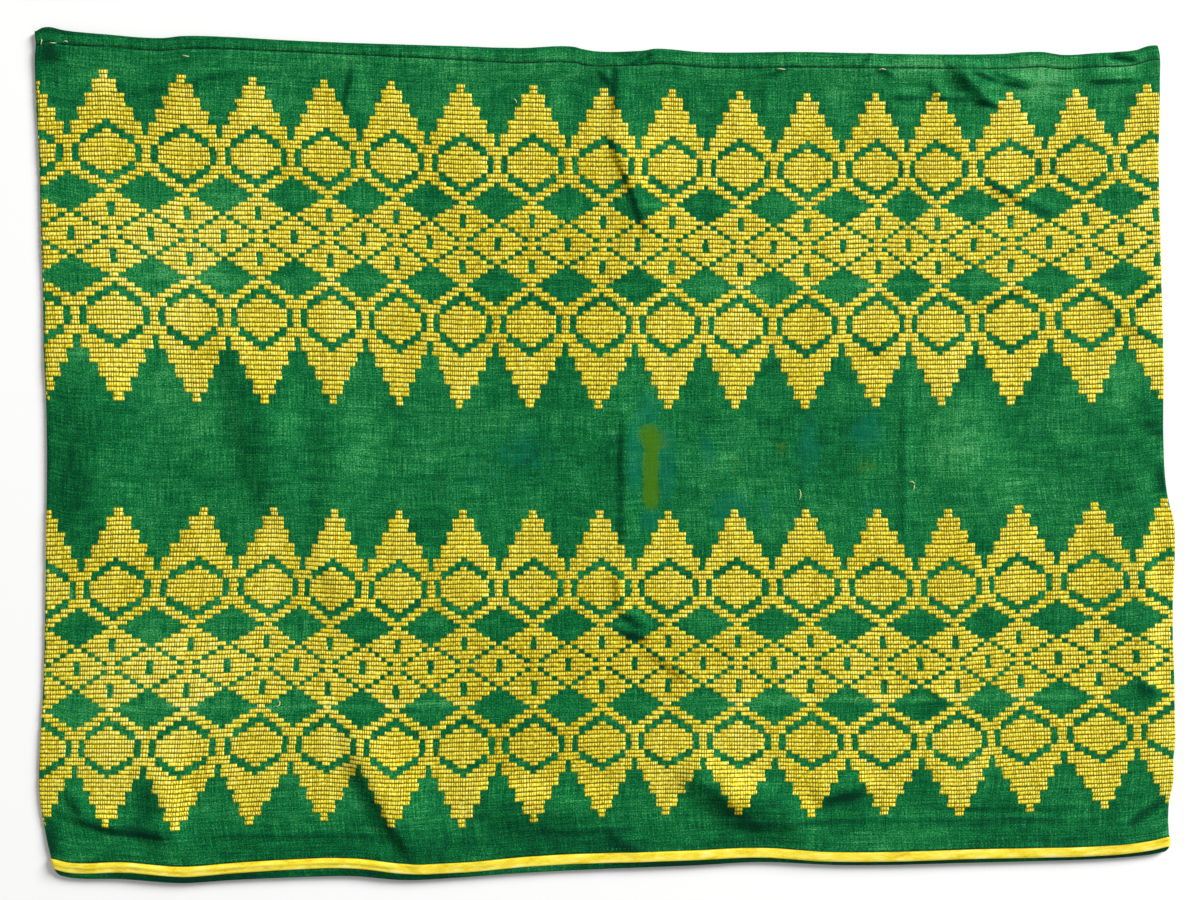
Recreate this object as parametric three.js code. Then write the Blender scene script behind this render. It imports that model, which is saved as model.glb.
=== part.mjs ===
import * as THREE from 'three';

// A malong: one woven tube of cloth laid flat, hemmed at both ends, with a ribbon round the lower hem.
// Millimetres. X runs across the cloth, Y runs up it to the top hem, Z is up from the surface it lies on.

// Thicknesses and gaps
const wall = 1.1;
const seamGap = 0.3;
const hemGap = 0.35;
const layerGap = 1.6;
const hemLayerGap = 0.5;

// Cut and hems
const clothWidth = 1125;
const clothHeight = 830;
const topHemDepth = 17;
const lowerHemDepth = 22;
const hemEase = 24;
const ribbonWidth = 10;
const ribbonToEdge = 5;
const ribbonStep = 2.5;

// Mesh spacing: sections down the cloth, steps round a fold, columns across each layer,
// and extra columns close to the side folds, where the corners curve
const sectionSpacing = 36;
const foldSteps = 4;
const frontColumns = 43;
const backColumns = 8;
const frontSideColumns = [5, 12, 24];
const backSideColumns = [12];
const fitRounds = 5;

// Outline of the laid cloth, seen from above: height of the top and lower edges across the width
const topEdge = [
  { x: -571, y: 424 }, { x: -566, y: 427 }, { x: -558, y: 428 }, { x: -545, y: 425 }, { x: -505, y: 421 },
  { x: -445, y: 417 }, { x: -425, y: 419 }, { x: -405, y: 419 }, { x: -305, y: 414 }, { x: -155, y: 409 },
  { x: -85, y: 407 }, { x: -30, y: 408 }, { x: -20, y: 405 }, { x: 35, y: 404 }, { x: 55, y: 406 },
  { x: 95, y: 403 }, { x: 195, y: 403 }, { x: 295, y: 401 }, { x: 395, y: 401 }, { x: 438, y: 403 },
  { x: 460, y: 400 }, { x: 495, y: 402 }, { x: 533, y: 405 }, { x: 545, y: 409 }, { x: 555, y: 410 },
];
const lowerEdge = [
  { x: -553, y: -418.5 }, { x: -545, y: -421 }, { x: -535, y: -423 }, { x: -485, y: -424 },
  { x: -425, y: -428 }, { x: -375, y: -425 }, { x: -305, y: -422 }, { x: -255, y: -421 },
  { x: -200, y: -425 }, { x: -155, y: -423 }, { x: -85, y: -418 }, { x: -5, y: -414 }, { x: 95, y: -410 },
  { x: 155, y: -407 }, { x: 235, y: -410 }, { x: 280, y: -410 }, { x: 355, y: -408 }, { x: 438, y: -406 },
  { x: 495, y: -404 }, { x: 535, y: -401 }, { x: 550, y: -399 }, { x: 562, y: -396.5 }, { x: 567, y: -395.5 },
];

// Where the two side folds run, from the lower edge up
const leftFold = [
  { y: -422, x: -543 }, { y: -418, x: -548.5 }, { y: -411, x: -551.5 }, { y: -405, x: -553.5 },
  { y: -385, x: -558.5 }, { y: -365, x: -562.5 }, { y: -345, x: -565.5 }, { y: -325, x: -566.5 },
  { y: -305, x: -566 }, { y: -225, x: -562 }, { y: -145, x: -560 }, { y: -85, x: -559.5 },
  { y: -5, x: -558.5 }, { y: 55, x: -559.5 }, { y: 95, x: -561.5 }, { y: 155, x: -562.5 },
  { y: 215, x: -564.5 }, { y: 295, x: -566.5 }, { y: 355, x: -569.5 }, { y: 397, x: -570.5 },
  { y: 411, x: -569.5 }, { y: 425, x: -571 },
];
const rightFold = [
  { y: -399, x: 555 }, { y: -396, x: 561 }, { y: -392.5, x: 564 }, { y: -389, x: 564.5 },
  { y: -365, x: 563.5 }, { y: -345, x: 565 }, { y: -325, x: 569 }, { y: -305, x: 569 },
  { y: -285, x: 571 }, { y: -265, x: 570.5 }, { y: -225, x: 570 }, { y: -185, x: 568.5 },
  { y: -145, x: 568.5 }, { y: -85, x: 570.5 }, { y: -65, x: 569 }, { y: -45, x: 564 }, { y: -25, x: 561 },
  { y: 15, x: 559 }, { y: 95, x: 559 }, { y: 155, x: 557.5 }, { y: 215, x: 556 }, { y: 275, x: 554.5 },
  { y: 295, x: 554 }, { y: 335, x: 555 }, { y: 375, x: 555.5 }, { y: 401, x: 555 }, { y: 410, x: 553 },
];

// The largest soft folds of the front layer: a crest's line on the cloth, how far the cloth falls away
// on its right hand and on its left, and the lift
const softFolds = [
  { fromX: -510, fromY: 85, toX: -515, toY: -95, steep: 46, gentle: 60, lift: 4.2 },
  { fromX: -368, fromY: 115, toX: -352, toY: 10, steep: 30, gentle: 70, lift: 4.5 },
  { fromX: -356, fromY: 35, toX: -322, toY: -62, steep: 30, gentle: 60, lift: 4.2 },
  { fromX: -276, fromY: 40, toX: -274, toY: -60, steep: 30, gentle: 50, lift: 3.1 },
  { fromX: -246, fromY: -300, toX: -208, toY: -374, steep: 30, gentle: 60, lift: 7.0 },
  { fromX: -445, fromY: -315, toX: -435, toY: -390, steep: 34, gentle: 30, lift: 5.9 },
  { fromX: -135, fromY: -345, toX: -5, toY: -353, steep: 34, gentle: 30, lift: 4.2 },
  { fromX: 85, fromY: -317, toX: 130, toY: -347, steep: 30, gentle: 40, lift: 7.6 },
  { fromX: 120, fromY: -340, toX: 201, toY: -367, steep: 34, gentle: 34, lift: 8.4 },
  { fromX: 210, fromY: -342, toX: 263, toY: -326, steep: 30, gentle: 30, lift: 4.5 },
  { fromX: 353, fromY: 385, toX: 387, toY: 355, steep: 30, gentle: 30, lift: 4.8 },
  { fromX: 350, fromY: 96, toX: 372, toY: -60, steep: 50, gentle: 60, lift: 3.1 },
  { fromX: 540, fromY: -20, toX: 548, toY: -270, steep: 50, gentle: 30, lift: 2.8 },
  { fromX: -486, fromY: 354, toX: -350, toY: 384, steep: 30, gentle: 36, lift: 2.0 },
  { fromX: 10, fromY: 380, toX: 40, toY: 200, steep: 30, gentle: 60, lift: 2.2 },
  { fromX: 20, fromY: 60, toX: 20, toY: -100, steep: 30, gentle: 50, lift: 1.7 },
];

const hemFoldRadius = (2 * wall + hemGap) / 2;
const hemStack = 2 * (2 * wall + hemGap) + hemLayerGap;
const plainStack = 2 * wall + layerGap;
const ribbonLift = wall + seamGap;
const ribbonTop = clothHeight - ribbonToEdge - ribbonWidth;
const ribbonFoot = clothHeight - ribbonToEdge;

// Smooth curve through a table's rows
function curveThrough(rows, key, value) {
  const keys = rows.map((row) => row[key]);
  const values = rows.map((row) => row[value]);
  const curve = new THREE.CubicInterpolant(keys, values, 1, new Float64Array(1));
  return (at) => curve.evaluate(THREE.MathUtils.clamp(at, keys[0], keys[keys.length - 1]))[0];
}

// Straight lines through a table's rows
function linesThrough(rows, key, value) {
  const keys = rows.map((row) => row[key]);
  const values = rows.map((row) => row[value]);
  const lines = new THREE.LinearInterpolant(keys, values, 1, new Float64Array(1));
  return (at) => lines.evaluate(THREE.MathUtils.clamp(at, keys[0], keys[keys.length - 1]))[0];
}

const topAt = curveThrough(topEdge, 'x', 'y');
const lowerAt = curveThrough(lowerEdge, 'x', 'y');
const leftAt = curveThrough(leftFold, 'y', 'x');
const rightAt = curveThrough(rightFold, 'y', 'x');

// Height of the two layers together, and how far the ribbon under the back layer lifts them,
// at a distance down the cloth from its top fold
const stackAt = linesThrough([
  { down: 0, stack: hemStack },
  { down: topHemDepth, stack: hemStack },
  { down: topHemDepth + hemEase, stack: plainStack },
  { down: clothHeight - lowerHemDepth - hemEase, stack: plainStack },
  { down: clothHeight - lowerHemDepth, stack: hemStack },
  { down: clothHeight, stack: hemStack },
], 'down', 'stack');
const undersideAt = linesThrough([
  { down: ribbonTop - ribbonStep, lift: 0 },
  { down: ribbonTop, lift: ribbonLift },
  { down: ribbonFoot, lift: ribbonLift },
  { down: ribbonFoot + ribbonStep, lift: 0 },
], 'down', 'lift');

// A smooth hump that is 1 in the middle and falls to nothing at half its breadth on either side
function hump(distance, halfBreadth) {
  const share = Math.min(Math.abs(distance) / halfBreadth, 1);
  return Math.cos(share * Math.PI / 2) ** 2;
}

// How far the soft folds lift the front layer at one place
function foldLift({ x, y }) {
  let lift = 0;
  for (const fold of softFolds) {
    const runX = fold.toX - fold.fromX;
    const runY = fold.toY - fold.fromY;
    const length = Math.hypot(runX, runY);
    const offX = x - (fold.fromX + fold.toX) / 2;
    const offY = y - (fold.fromY + fold.toY) / 2;
    const along = (offX * runX + offY * runY) / length;
    const aside = (offX * runY - offY * runX) / length;
    const toEnd = Math.min(2 * Math.abs(along) / (length + fold.steep), 1);
    const heldUp = (1 - toEnd ** 4) ** 2;
    lift += fold.lift * heldUp * hump(aside, aside > 0 ? fold.steep : fold.gentle);
  }
  return lift;
}

// Place on the laid cloth at a share of the way across and a distance down from the top fold
function placeOn(share, down) {
  const shareDown = down / clothHeight;
  let x = 0;
  let y = 0;
  for (let round = 0; round < fitRounds; round += 1) {
    y = THREE.MathUtils.lerp(topAt(x), lowerAt(x), shareDown);
    x = THREE.MathUtils.lerp(leftAt(y), rightAt(y), share);
  }
  return { x, y };
}

// Shares of the way across: even columns, with extra ones a few millimetres from each side fold
function sharesAcross(columns, sideColumns) {
  const near = sideColumns.map((distance) => distance / clothWidth);
  const inner = near[near.length - 1];
  const shares = [0, ...near.slice(0, -1)];
  for (let i = 0; i <= columns; i += 1) {
    shares.push(THREE.MathUtils.lerp(inner, 1 - inner, i / columns));
  }
  for (const share of [...near.slice(0, -1)].reverse()) {
    shares.push(1 - share);
  }
  shares.push(1);
  return shares;
}

const frontShares = sharesAcross(frontColumns, frontSideColumns);
const backShares = sharesAcross(backColumns, backSideColumns);

// One closed loop round the flat tube, sunk by a depth into the cloth from its outer face
function loopAt(down, depth) {
  const stack = stackAt(down);
  const underside = undersideAt(down);
  const left = placeOn(0, down);
  const right = placeOn(1, down);
  const leftRadius = (stack + foldLift(left)) / 2;
  const rightRadius = (stack + foldLift(right)) / 2;
  const loop = [];
  for (const share of frontShares) {
    const spot = placeOn(share, down);
    const inset = THREE.MathUtils.lerp(leftRadius, -rightRadius, share);
    loop.push([spot.x + inset, spot.y, underside + stack + foldLift(spot) - depth]);
  }
  addSideFold(loop, right.x - rightRadius, right.y, underside + rightRadius, rightRadius - depth, 1);
  for (const share of [...backShares].reverse()) {
    const spot = placeOn(share, down);
    const inset = THREE.MathUtils.lerp(leftRadius, -rightRadius, share);
    loop.push([spot.x + inset, spot.y, underside + depth]);
  }
  addSideFold(loop, left.x + leftRadius, left.y, underside + leftRadius, leftRadius - depth, -1);
  return loop;
}

// The round turn of a side fold, between the two layers
function addSideFold(loop, centreX, y, centreZ, radius, side) {
  for (let i = 1; i < foldSteps; i += 1) {
    const turn = Math.PI * i / foldSteps;
    loop.push([centreX + side * radius * Math.sin(turn), y, centreZ + side * radius * Math.cos(turn)]);
  }
}

// A closed wall swept round the tube: each ring is a distance down and a depth, and the last joins the first.
// Faces that lie over each other split along the same diagonal, so that they stay parallel.
function sweptWall(rings) {
  const loops = rings.map((ring) => loopAt(ring.down, ring.depth));
  const loopSize = loops[0].length;
  const indices = [];
  for (let ring = 0; ring < loops.length; ring += 1) {
    const next = (ring + 1) % loops.length;
    const goesDown = rings[next].down >= rings[ring].down;
    for (let i = 0; i < loopSize; i += 1) {
      const j = (i + 1) % loopSize;
      const a = ring * loopSize + i;
      const b = ring * loopSize + j;
      const c = next * loopSize + j;
      const d = next * loopSize + i;
      const corners = goesDown ? [a, d, b, b, d, c] : [a, d, c, a, c, b];
      indices.push(...corners);
    }
  }
  const geometry = new THREE.BufferGeometry();
  geometry.setAttribute('position', new THREE.Float32BufferAttribute(loops.flat(2), 3));
  geometry.setIndex(indices);
  geometry.computeVertexNormals();
  return geometry;
}

// Distances down the cloth where its wall has a section
function sectionsDown() {
  const topDowns = [hemFoldRadius, topHemDepth / 2, topHemDepth, topHemDepth + hemEase];
  const lowerHemTop = clothHeight - lowerHemDepth;
  const lowerDowns = [
    lowerHemTop - hemEase,
    lowerHemTop,
    ribbonTop - ribbonStep,
    ribbonTop,
    ribbonFoot,
    ribbonFoot + ribbonStep,
    clothHeight - hemFoldRadius,
  ];
  const from = topDowns[topDowns.length - 1];
  const to = lowerDowns[0];
  const count = Math.round((to - from) / sectionSpacing);
  const plainDowns = [];
  for (let i = 1; i < count; i += 1) {
    plainDowns.push(THREE.MathUtils.lerp(from, to, i / count));
  }
  return [...topDowns, ...plainDowns, ...lowerDowns];
}

// The round turn of a hem at the top edge (side 1) or lower edge (side -1), from the outer face inwards
function hemTurn(side) {
  const rings = [];
  for (let i = 1; i < foldSteps; i += 1) {
    const turn = Math.PI * i / foldSteps;
    const fromEdge = hemFoldRadius * (1 - Math.sin(turn));
    const down = side > 0 ? fromEdge : clothHeight - fromEdge;
    rings.push({ down, depth: hemFoldRadius * (1 - Math.cos(turn)) });
  }
  return rings;
}

// Cross-section of the whole wall: outer face down, lower hem turned up inside, inner face up, top hem
function clothSection() {
  const downs = sectionsDown();
  const at = (depth) => (down) => ({ down, depth });
  const topHem = downs.filter((down) => down <= topHemDepth);
  const lowerHem = downs.filter((down) => down >= clothHeight - lowerHemDepth);
  const hemInner = wall + hemGap;
  const hemOuter = 2 * wall + hemGap;
  return [
    ...downs.map(at(0)),
    ...hemTurn(-1),
    ...[...lowerHem].reverse().map(at(hemOuter)),
    ...lowerHem.map(at(hemInner)),
    ...[...downs].reverse().map(at(wall)),
    ...topHem.map(at(hemInner)),
    ...[...topHem].reverse().map(at(hemOuter)),
    ...hemTurn(1).reverse(),
  ];
}

// Cross-section of the ribbon, which lies just off the cloth's outer face
function ribbonSection() {
  const near = -seamGap;
  const far = -(seamGap + wall);
  return [
    { down: ribbonTop, depth: far },
    { down: ribbonFoot, depth: far },
    { down: ribbonFoot, depth: near },
    { down: ribbonTop, depth: near },
  ];
}

function namedMesh(name, geometry, color, roughness) {
  const material = new THREE.MeshStandardMaterial({ color, roughness, metalness: 0 });
  const mesh = new THREE.Mesh(geometry, material);
  mesh.name = name;
  return mesh;
}

const malong = new THREE.Group();
malong.add(namedMesh('malong_cloth', sweptWall(clothSection()), '#1f7a45', 0.75));
malong.add(namedMesh('hem_ribbon', sweptWall(ribbonSection()), '#f4dc3c', 0.4));

// The origin is the middle of the box that holds the cloth, on the surface it lies on
const box = new THREE.Box3().setFromObject(malong);
const middle = box.getCenter(new THREE.Vector3());
malong.position.set(-middle.x, -middle.y, -box.min.z);

export default malong;
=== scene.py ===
import bpy
import numpy as np
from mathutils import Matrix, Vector


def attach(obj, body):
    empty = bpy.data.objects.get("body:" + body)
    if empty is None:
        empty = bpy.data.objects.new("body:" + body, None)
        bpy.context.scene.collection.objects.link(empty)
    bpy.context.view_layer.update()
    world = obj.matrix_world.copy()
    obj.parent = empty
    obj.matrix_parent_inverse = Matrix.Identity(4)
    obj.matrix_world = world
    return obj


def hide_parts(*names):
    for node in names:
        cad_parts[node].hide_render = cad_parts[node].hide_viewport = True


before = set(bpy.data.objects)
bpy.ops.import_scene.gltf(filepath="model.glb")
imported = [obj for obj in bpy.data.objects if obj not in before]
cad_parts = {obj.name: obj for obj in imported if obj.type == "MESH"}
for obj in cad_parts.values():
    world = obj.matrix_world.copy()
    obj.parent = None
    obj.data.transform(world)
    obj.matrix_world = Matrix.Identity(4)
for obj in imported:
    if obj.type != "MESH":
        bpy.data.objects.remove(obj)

# A malong: a woven tube of green cloth with two bands of yellow weft patterning, laid flat and hemmed at
# both ends, with a satin ribbon round the lower hem. Tables and sizes are in millimetres: X across the
# cloth, Y up it to the top hem, Z up from the floor. Meshes are made in metres.
MM = 0.001


def table(columns, rows):
    """A short table as one array for each named column."""
    values = np.array(rows, float).T
    return dict(zip(columns, values))


def rows_of(columns):
    """The rows of a table, each as its named values."""
    for values in zip(*columns.values()):
        yield dict(zip(columns, values))


# Thicknesses, gaps and hems, as in the solids
WALL = 1.1
HEM_GAP = 0.35
LAYER_GAP = 1.6
HEM_LAYER_GAP = 0.5
CLOTH_HEIGHT = 830
TOP_HEM = 17
LOWER_HEM = 22
HEM_EASE = 24
RIBBON_WIDTH = 10
RIBBON_TO_EDGE = 5
RIBBON_STEP = 2.5
RIBBON_ROOM = 1.3

# The floats stand this far off the cloth, and the back layer clears the floor by a little more
FLOAT_RISE = 0.42
FLOOR_ROOM = 0.5

# Mesh spacing
FRONT_STEP = 2.9
BACK_STEP = 20
ROW_STEP = 5.6
FINE_ROW_STEP = 2.3
FINE_ROWS = ((20, 60), (600, 636), (756, 800))
FOLD_STEPS = 6
FIT_ROUNDS = 5

HEM_RADIUS = (2 * WALL + HEM_GAP) / 2
HEM_STACK = 2 * (2 * WALL + HEM_GAP) + HEM_LAYER_GAP
PLAIN_STACK = 2 * WALL + LAYER_GAP
RIBBON_TOP = CLOTH_HEIGHT - RIBBON_TO_EDGE - RIBBON_WIDTH
RIBBON_FOOT = CLOTH_HEIGHT - RIBBON_TO_EDGE

# The front layer's width and the whole way round the tube, both measured along the cloth
FRONT_WIDTH = 1121.0
TUBE_ROUND = 2258.0

# The map laid out for baking the finishes: the stretch of tube that one layer's floats take up in it, and
# where that stretch starts on each layer
BAKE_MAP = "OFBake"
BAKED_ROUND = 1260.0
FRONT_BAKED_FROM = -60.0
BACK_BAKED_FROM = 1100.0

# Outline of the laid cloth, seen from above
TOP_EDGE = table(("x", "y"), [
    (-571, 424), (-566, 427), (-558, 428), (-545, 425), (-505, 421), (-445, 417), (-425, 419), (-405, 419),
    (-305, 414), (-155, 409), (-85, 407), (-30, 408), (-20, 405), (35, 404), (55, 406), (95, 403),
    (195, 403), (295, 401), (395, 401), (438, 403), (460, 400), (495, 402), (533, 405), (545, 409),
    (555, 410),
])
LOWER_EDGE = table(("x", "y"), [
    (-553, -418.5), (-545, -421), (-535, -423), (-485, -424), (-425, -428), (-375, -425), (-305, -422),
    (-255, -421), (-200, -425), (-155, -423), (-85, -418), (-5, -414), (95, -410), (155, -407), (235, -410),
    (280, -410), (355, -408), (438, -406), (495, -404), (535, -401), (550, -399), (562, -396.5),
    (567, -395.5),
])
LEFT_FOLD = table(("y", "x"), [
    (-422, -543), (-418, -548.5), (-411, -551.5), (-405, -553.5), (-385, -558.5), (-365, -562.5),
    (-345, -565.5), (-325, -566.5), (-305, -566), (-225, -562), (-145, -560), (-85, -559.5), (-5, -558.5),
    (55, -559.5), (95, -561.5), (155, -562.5), (215, -564.5), (295, -566.5), (355, -569.5), (397, -570.5),
    (411, -569.5), (425, -571),
])
RIGHT_FOLD = table(("y", "x"), [
    (-399, 555), (-396, 561), (-392.5, 564), (-389, 564.5), (-365, 563.5), (-345, 565), (-325, 569),
    (-305, 569), (-285, 571), (-265, 570.5), (-225, 570), (-185, 568.5), (-145, 568.5), (-85, 570.5),
    (-65, 569), (-45, 564), (-25, 561), (15, 559), (95, 559), (155, 557.5), (215, 556), (275, 554.5),
    (295, 554), (335, 555), (375, 555.5), (401, 555), (410, 553),
])

# Folds and creases of the front layer: a crest's line on the cloth, how far the cloth falls away on its
# right hand and on its left, and the lift, which is negative for a trough
CREASE_COLUMNS = ("from_x", "from_y", "to_x", "to_y", "steep", "gentle", "lift")
SOFT_FOLDS = table(CREASE_COLUMNS, [
    (-510, 85, -515, -95, 46, 60, 4.2), (-368, 115, -352, 10, 30, 70, 4.5),
    (-356, 35, -322, -62, 30, 60, 4.2), (-276, 40, -274, -60, 24, 50, 3.1),
    (-273, -50, -290, -120, 24, 40, 2.5), (-270, -105, -258, -185, 22, 40, 2.2),
    (-255, -270, -235, -320, 20, 40, 2.8), (-246, -300, -208, -374, 24, 60, 7.0),
    (-216, -362, -184, -406, 16, 50, 5.0), (-445, -315, -435, -390, 34, 30, 5.9),
    (-135, -345, -5, -353, 34, 30, 4.2), (85, -317, 130, -347, 26, 40, 7.6),
    (120, -340, 201, -367, 34, 34, 8.4), (210, -342, 263, -326, 15, 24, 4.5),
    (353, 385, 387, 355, 15, 26, 4.8), (350, 96, 372, -60, 50, 60, 3.1), (540, -20, 548, -270, 50, 14, 2.8),
    (-486, 354, -350, 384, 20, 36, 2.0), (10, 380, 40, 200, 30, 60, 2.2), (20, 60, 20, -100, 30, 50, 1.7),
])
FINE_CREASES = table(CREASE_COLUMNS, [
    (15, 393, 12, 337, 9, 22, 2.1), (-6, 384, 6, 371, 7, 12, 1.6), (7, 323, 23, 277, 9, 20, 2.1),
    (21, 287, 45, 219, 9, 24, 2.6), (35, 190, 60, 155, 8, 16, 1.0), (21, 55, 20, -105, 9, 18, 1.8),
    (12, -118, 14, -155, 9, 15, 1.9), (15, -153, 45, -171, 8, 9, 2.9), (13, -171, 43, -181, 7, 7, 3.5),
    (40, -193, 87, -227, 9, 18, 1.3), (-483, 360, -355, 386, 8, 14, 1.8),
    (-250, 389, -258, 341, 8, 18, 1.9), (325, 358, 371, 358, 5, 9, 1.3), (371, 356, 398, 349, 5, 9, 1.9),
    (325, 375, 341, 355, 6, 12, 1.9), (285, 359, 322, 360, 4.5, 8, 1.5), (368, 384, 395, 374, 5, 12, 1.9),
    (393, 376, 428, 368, 5, 12, 1.7), (381, 386, 430, 371, 5, 14, 1.3), (420, 373, 470, 372, 5, 12, 1.0),
    (480, 375, 538, 377, 6, 12, 2.3), (352, 384, 366, 366, 5, 14, 1.6), (340, 398, 352, 384, 5, 10, 1.0),
    (455, 366, 478, 352, 6, 12, 0.9), (383, 274, 412, 257, 8, 16, 1.9), (407, 260, 451, 240, 8, 16, 2.1),
    (380, 147, 430, 173, 9, 14, 1.4), (493, 159, 517, 133, 8, 16, 1.4), (515, 135, 555, 112, 8, 16, 1.3),
    (270, 389, 287, 380, 6, 8, 1.6), (268, 405, 255, 385, 6, 8, 1.6), (163, 380, 195, 393, 6, 8, 1.3),
    (160, 377, 158, 343, 8, 14, 1.1), (20, 389, 60, 407, 6, 9, 1.6), (46, 408, 50, 392, 6, 9, 1.6),
    (-486, 75, -487, -65, 7, 12, 0.6), (198, 15, 198, -75, 6, 10, 0.6), (299, 75, 298, -105, 7, 12, 1.3),
    (-539, -336, -521, -357, 10, 14, 2.9), (-533, -362, -485, -375, 9, 20, 3.5),
    (-493, -374, -433, -380, 9, 20, 3.5), (3, -380, 35, -397, 8, 14, 1.9),
    (523, -370, 561, -345, 7, 7, -2.9), (533, -227, 551, -239, 9, 14, 2.9),
    (325, -236, 343, -248, 8, 14, 1.9), (-410, -381, -190, -380, 5, 8, 1.0),
    (-200, -383, -100, -385, 5, 8, 0.8), (-70, -377, 30, -374, 5, 8, 1.0), (30, -370, 250, -369, 5, 9, 1.3),
    (240, -369, 530, -364, 5, 9, 1.3), (310, -353, 500, -352, 5, 8, 0.8), (512, 402, 534, 398, 6, 8, 1.8),
    (505, 396, 532, 392, 6, 8, -1.6), (526, 60, 546, 52, 5, 7, 1.1), (522, 45, 554, 50, 5, 7, 1.3),
    (536, 31, 556, 36, 5, 7, 1.2), (500, 32, 528, 27, 5, 8, 0.7),
])
BACK_CREASES = table(CREASE_COLUMNS, [
    (-300, 250, -180, 60, 46, 46, 1.2), (120, 300, 240, 180, 40, 40, 1.0),
    (-60, -120, 40, -300, 44, 44, 1.3), (330, -60, 420, -240, 48, 48, 1.1),
    (-480, -180, -430, -330, 40, 40, 0.9), (0, 360, 10, -360, 14, 14, 0.8),
])

# Where each motif lies on the front layer, from the left fold to the right: its middle warp at three
# levels, the heights of its upper tip, middle and lower tip, and how far its lower ring sags
MOTIF_COLUMNS = ("head_x", "middle_x", "foot_x", "head_y", "middle_y", "foot_y", "sag")
UPPER_BAND = table(MOTIF_COLUMNS, [
    (-577, -576, -564, 383, 221, 55, 0), (-500, -492, -486, 386, 223, 54, 0),
    (-422, -416, -409, 380, 219, 53, 0), (-351, -346, -340, 378, 219, 51, 0),
    (-280, -275, -272, 376, 217, 51, 0), (-213, -208, -205, 374, 215, 49, 0),
    (-144, -142, -145, 371, 211, 46, 0), (-72, -73, -75, 370, 211, 47, 0), (-1, -2, -6, 367, 210, 46, 0),
    (67, 67, 64, 366, 210, 46, 0), (135, 135, 131, 364, 208, 46, 0), (202, 202, 200, 362, 207, 46, 0),
    (271, 273, 271, 362, 210, 48, 0), (330, 332, 335, 362, 209, 49, 0), (404, 405, 405, 363, 211, 50, 0),
    (472, 481, 486, 366, 214, 52, 0), (543, 551, 556, 371, 218, 56, 0),
])
LOWER_BAND = table(MOTIF_COLUMNS, [
    (-558, -562, -563, -55, -215, -371, 2), (-487, -494, -498, -52, -213, -372, 2),
    (-403, -416, -427, -52, -212, -375, 2), (-331, -340, -353, -52, -209, -370, 2),
    (-271, -276, -280, -54, -211, -366, 2), (-206, -208, -212, -55, -214, -371, 3),
    (-142, -141, -143, -55, -211, -373, 2), (-72, -71, -71, -55, -210, -367, 3),
    (-5, -3, -3, -55, -209, -362, 3), (63, 63, 61, -56, -208, -360, 3), (130, 133, 133, -54, -208, -359, 4),
    (201, 205, 206, -54, -208, -362, 4), (273, 278, 279, -54, -209, -360, 4),
    (344, 351, 354, -54, -209, -361, 2), (412, 414, 422, -50, -204, -357, 2),
    (489, 492, 498, -47, -202, -354, 2), (561, 568, 565, -43, -200, -348, 2),
])

# The weaver's chart: for each row, the columns that are yellow, counted out from the motif's middle warp.
# It runs to the middle row and then back.
CHART_COLUMNS = 10
HALF_CHART = (
    "0 0 01 01 01 012 012 012 0123 0123 0123 1234 234 034 0145 01245 01235 01235 01235 01235 01245 0145 "
    "034 23 12 01 0 01 012 123 1234 1235 01245 01345 0234 01234"
).split()
CHART = HALF_CHART + HALF_CHART[-2::-1]
WARPS_AT = (6, 35.5, 65)
TIPS_AT = (0, 35.5, 71)
SAG_AT, SAG_ROWS = 50, 16
FRONT_MOTIFS = 17
ALL_MOTIFS = 32

# The front layer ends this many columns past the middle warps of its first and last motifs
COLUMNS_TO_FOLD = 3

# How far down the top hem's stitching runs, which wanders
TOP_STITCHES = table(("x", "down"), [
    (-565, 15), (-495, 11.5), (-425, 12.5), (-305, 10.8), (-185, 12.5), (-85, 14.8), (-35, 16), (5, 14.3),
    (155, 16), (325, 14.2), (425, 16), (475, 13.8), (540, 15),
])
LOWER_STITCHES = CLOTH_HEIGHT - LOWER_HEM + 2
STITCH_LIFT = 0.1

# How far down the top hem is most puckered
PUCKERS_AT = 9

# How far the ribbon was sewn below its straight line across the front: it runs higher at the left
RIBBON_DRIFT = table(("x", "down"), [
    (-560, 0), (-485, -2.2), (-435, -1.6), (-385, -2.0), (-335, -2.8), (-285, -3.4), (-235, -2.6),
    (-185, -0.6), (-135, -0.4), (-85, -1.5), (-35, -1.8), (35, -1.0), (165, 0), (215, 1.4), (265, 1.0),
    (365, 0.6), (515, 1.6), (560, 0),
])

# Small slips in the weaving, where a column is yellow that the chart leaves green
SLIPS = {"upper_band": [(6, 38, 3)], "lower_band": [(6, 55, 9)]}


# Curves and surfaces
def curve_through(rows, key, value):
    """Smooth curve through a table's rows, with the mean of the neighbouring slopes at each."""
    keys, values = rows[key], rows[value]
    secants = np.diff(values) / np.diff(keys)
    slopes = np.concatenate([secants[:1], (secants[1:] + secants[:-1]) / 2, secants[-1:]])

    def at(place):
        place = np.clip(place, keys[0], keys[-1])
        i = np.clip(np.searchsorted(keys, place, side="right") - 1, 0, len(keys) - 2)
        gap = keys[i + 1] - keys[i]
        t = (place - keys[i]) / gap
        start = values[i] * (1 + 2 * t) * (1 - t) ** 2 + slopes[i] * gap * t * (1 - t) ** 2
        end = values[i + 1] * t * t * (3 - 2 * t) - slopes[i + 1] * gap * t * t * (1 - t)
        return start + end

    return at


def through_three(levels, low, middle, high):
    """The curve through three values at three levels, as a function of the level."""
    a, b, c = levels

    def at(level):
        return (
            low * (level - b) * (level - c) / ((a - b) * (a - c))
            + middle * (level - a) * (level - c) / ((b - a) * (b - c))
            + high * (level - a) * (level - b) / ((c - a) * (c - b))
        )

    return at


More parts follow.
